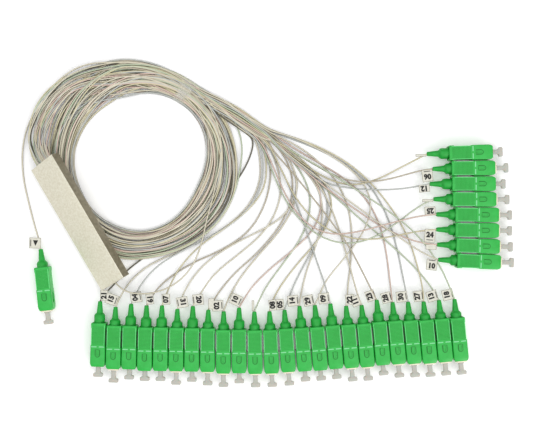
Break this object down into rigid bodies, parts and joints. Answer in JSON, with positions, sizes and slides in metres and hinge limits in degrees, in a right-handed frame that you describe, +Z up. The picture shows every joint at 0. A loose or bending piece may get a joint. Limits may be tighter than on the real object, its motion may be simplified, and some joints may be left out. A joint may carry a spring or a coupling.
{
  "type": "plc fibre splitter",
  "caption": "Slim metal splitter module with fibre leads wound in a loose coil and fanned out to green square push-pull plugs with dust caps and number flags",
  "frame": {"origin": "on the table, under the middle of the splitter module", "axes": "+X runs along the row of output plugs, +Y away from that row towards the coil, +Z up"},
  "size_m": [0.2842, 0.1901, 0.0158],
  "materials": {
    "case_steel": "satin pale anodised sleeve, warm grey",
    "end_cap": "moulded plastic end plug",
    "chip": "polished silica on silicon die",
    "array_glass": "ground glass V-groove block",
    "ribbon": "coated fibre and ribbon",
    "lead": "0.9 mm loose tube, pale natural colours",
    "clear_tape": "clear film",
    "grip": "green moulded grip",
    "boot": "darker green rubber boot",
    "frame": "ivory moulded inner body",
    "ferrule": "white zirconia",
    "spring": "steel wire",
    "stop": "nickel plated stop",
    "cap": "translucent soft plastic",
    "flag": "folded paper flag with a plain number"
  },
  "bodies": {
    "root": {"case_tube": "case_steel", "input_end_cap": "end_cap", "output_end_cap": "end_cap", "splitter_chip": "chip", "chip_lid": "array_glass", "input_array": "array_glass", "output_array": "array_glass", "input_bare_fibre": "ribbon", "output_ribbons": "ribbon", "input_lead": "lead", "input_tail": "lead", "fibre_coil": "lead", "output_bundle": "lead", "fan_out": "lead", "coil_tape": "clear_tape", "input_frame": "frame", "input_stop": "stop", "input_spring": "spring", "input_boot": "boot", "input_flag": "flag", "output_frames": "frame", "output_ferrules": "ferrule", "output_boots": "boot", "output_caps": "cap", "output_flags": "flag"},
    "input_grip": {"input_grip": "grip"},
    "input_cap": {"input_cap": "cap"},
    "input_ferrule": {"input_ferrule": "ferrule"},
    "output_grip_01": {"output_grip_01": "grip"},
    "output_grip_02": {"output_grip_02": "grip"},
    "output_grip_03": {"output_grip_03": "grip"},
    "output_grip_04": {"output_grip_04": "grip"},
    "output_grip_05": {"output_grip_05": "grip"},
    "output_grip_06": {"output_grip_06": "grip"},
    "output_grip_07": {"output_grip_07": "grip"},
    "output_grip_08": {"output_grip_08": "grip"},
    "output_grip_09": {"output_grip_09": "grip"},
    "output_grip_10": {"output_grip_10": "grip"},
    "output_grip_11": {"output_grip_11": "grip"},
    "output_grip_12": {"output_grip_12": "grip"},
    "output_grip_13": {"output_grip_13": "grip"},
    "output_grip_14": {"output_grip_14": "grip"},
    "output_grip_15": {"output_grip_15": "grip"},
    "output_grip_16": {"output_grip_16": "grip"},
    "output_grip_17": {"output_grip_17": "grip"},
    "output_grip_18": {"output_grip_18": "grip"},
    "output_grip_19": {"output_grip_19": "grip"},
    "output_grip_20": {"output_grip_20": "grip"},
    "output_grip_21": {"output_grip_21": "grip"},
    "output_grip_22": {"output_grip_22": "grip"},
    "output_grip_23": {"output_grip_23": "grip"},
    "output_grip_24": {"output_grip_24": "grip"},
    "output_grip_25": {"output_grip_25": "grip"},
    "output_grip_26": {"output_grip_26": "grip"},
    "output_grip_27": {"output_grip_27": "grip"},
    "output_grip_28": {"output_grip_28": "grip"},
    "output_grip_29": {"output_grip_29": "grip"},
    "output_grip_30": {"output_grip_30": "grip"},
    "output_grip_31": {"output_grip_31": "grip"},
    "output_grip_32": {"output_grip_32": "grip"}
  },
  "joints": [
    {"name": "input_grip_slide", "type": "slide", "parent": "root", "child": "input_grip", "axis": [0.108, -0.9942, 0], "range_m": [0, 0.0019]},
    {"name": "input_cap_pull", "type": "slide", "parent": "root", "child": "input_cap", "axis": [0.108, -0.9942, 0], "range_m": [0, 0.008]},
    {"name": "input_ferrule_float", "type": "slide", "parent": "root", "child": "input_ferrule", "axis": [0.108, -0.9942, 0], "range_m": [-0.001, 0], "stiffness_N_per_m": 1500, "springref_m": 0.0004, "deforming": ["input_spring"]},
    {"name": "output_grip_01_slide", "type": "slide", "parent": "root", "child": "output_grip_01", "axis": [-0.0279, -0.9996, 0], "range_m": [-0.0019, 0]},
    {"name": "output_grip_02_slide", "type": "slide", "parent": "root", "child": "output_grip_02", "axis": [-0.0279, -0.9996, 0], "range_m": [0, 0.0019]},
    {"name": "output_grip_03_slide", "type": "slide", "parent": "root", "child": "output_grip_03", "axis": [-0.0262, -0.9997, 0], "range_m": [-0.0019, 0]},
    {"name": "output_grip_04_slide", "type": "slide", "parent": "root", "child": "output_grip_04", "axis": [-0.0244, -0.9997, 0], "range_m": [-0.0019, 0]},
    {"name": "output_grip_05_slide", "type": "slide", "parent": "root", "child": "output_grip_05", "axis": [-0.0209, -0.9998, 0], "range_m": [-0.0019, 0]},
    {"name": "output_grip_06_slide", "type": "slide", "parent": "root", "child": "output_grip_06", "axis": [-0.0175, -0.9998, 0], "range_m": [0, 0.0019]},
    {"name": "output_grip_07_slide", "type": "slide", "parent": "root", "child": "output_grip_07", "axis": [-0.014, -0.9999, 0], "range_m": [-0.0019, 0]},
    {"name": "output_grip_08_slide", "type": "slide", "parent": "root", "child": "output_grip_08", "axis": [-0.0087, -1, 0], "range_m": [0, 0.0019]},
    {"name": "output_grip_09_slide", "type": "slide", "parent": "root", "child": "output_grip_09", "axis": [-0.0035, -1, 0], "range_m": [0, 0.0019]},
    {"name": "output_grip_10_slide", "type": "slide", "parent": "root", "child": "output_grip_10", "axis": [0.0035, -1, 0], "range_m": [-0.0019, 0]},
    {"name": "output_grip_11_slide", "type": "slide", "parent": "root", "child": "output_grip_11", "axis": [0.0175, -0.9998, 0], "range_m": [0, 0.0019]},
    {"name": "output_grip_12_slide", "type": "slide", "parent": "root", "child": "output_grip_12", "axis": [0.0384, -0.9993, 0], "range_m": [0, 0.0019]},
    {"name": "output_grip_13_slide", "type": "slide", "parent": "root", "child": "output_grip_13", "axis": [0.0663, -0.9978, 0], "range_m": [0, 0.0019]},
    {"name": "output_grip_14_slide", "type": "slide", "parent": "root", "child": "output_grip_14", "axis": [0.0837, -0.9965, 0], "range_m": [-0.0019, 0]},
    {"name": "output_grip_15_slide", "type": "slide", "parent": "root", "child": "output_grip_15", "axis": [0.0872, -0.9962, 0], "range_m": [-0.0019, 0]},
    {"name": "output_grip_16_slide", "type": "slide", "parent": "root", "child": "output_grip_16", "axis": [0.0889, -0.996, 0], "range_m": [-0.0019, 0]},
    {"name": "output_grip_17_slide", "type": "slide", "parent": "root", "child": "output_grip_17", "axis": [0.0906, -0.9959, 0], "range_m": [0, 0.0019]},
    {"name": "output_grip_18_slide", "type": "slide", "parent": "root", "child": "output_grip_18", "axis": [0.0924, -0.9957, 0], "range_m": [0, 0.0019]},
    {"name": "output_grip_19_slide", "type": "slide", "parent": "root", "child": "output_grip_19", "axis": [0.0941, -0.9956, 0], "range_m": [-0.0019, 0]},
    {"name": "output_grip_20_slide", "type": "slide", "parent": "root", "child": "output_grip_20", "axis": [0.0941, -0.9956, 0], "range_m": [0, 0.0019]},
    {"name": "output_grip_21_slide", "type": "slide", "parent": "root", "child": "output_grip_21", "axis": [0.0958, -0.9954, 0], "range_m": [0, 0.0019]},
    {"name": "output_grip_22_slide", "type": "slide", "parent": "root", "child": "output_grip_22", "axis": [0.0958, -0.9954, 0], "range_m": [0, 0.0019]},
    {"name": "output_grip_23_slide", "type": "slide", "parent": "root", "child": "output_grip_23", "axis": [0.0976, -0.9952, 0], "range_m": [0, 0.0019]},
    {"name": "output_grip_24_slide", "type": "slide", "parent": "root", "child": "output_grip_24", "axis": [0.0976, -0.9952, 0], "range_m": [0, 0.0019]},
    {"name": "output_grip_25_slide", "type": "slide", "parent": "root", "child": "output_grip_25", "axis": [0.9996, 0.0279, 0], "range_m": [-0.0019, 0]},
    {"name": "output_grip_26_slide", "type": "slide", "parent": "root", "child": "output_grip_26", "axis": [0.9999, 0.014, 0], "range_m": [0, 0.0019]},
    {"name": "output_grip_27_slide", "type": "slide", "parent": "root", "child": "output_grip_27", "axis": [1, 0, 0], "range_m": [-0.0019, 0]},
    {"name": "output_grip_28_slide", "type": "slide", "parent": "root", "child": "output_grip_28", "axis": [1, -0.0052, 0], "range_m": [0, 0.0019]},
    {"name": "output_grip_29_slide", "type": "slide", "parent": "root", "child": "output_grip_29", "axis": [0.9999, -0.0105, 0], "range_m": [0, 0.0019]},
    {"name": "output_grip_30_slide", "type": "slide", "parent": "root", "child": "output_grip_30", "axis": [0.9998, -0.0175, 0], "range_m": [0, 0.0019]},
    {"name": "output_grip_31_slide", "type": "slide", "parent": "root", "child": "output_grip_31", "axis": [0.9995, -0.0314, 0], "range_m": [0, 0.0019]},
    {"name": "output_grip_32_slide", "type": "slide", "parent": "root", "child": "output_grip_32", "axis": [0.9993, -0.0384, 0], "range_m": [0, 0.0019]}
  ]
}
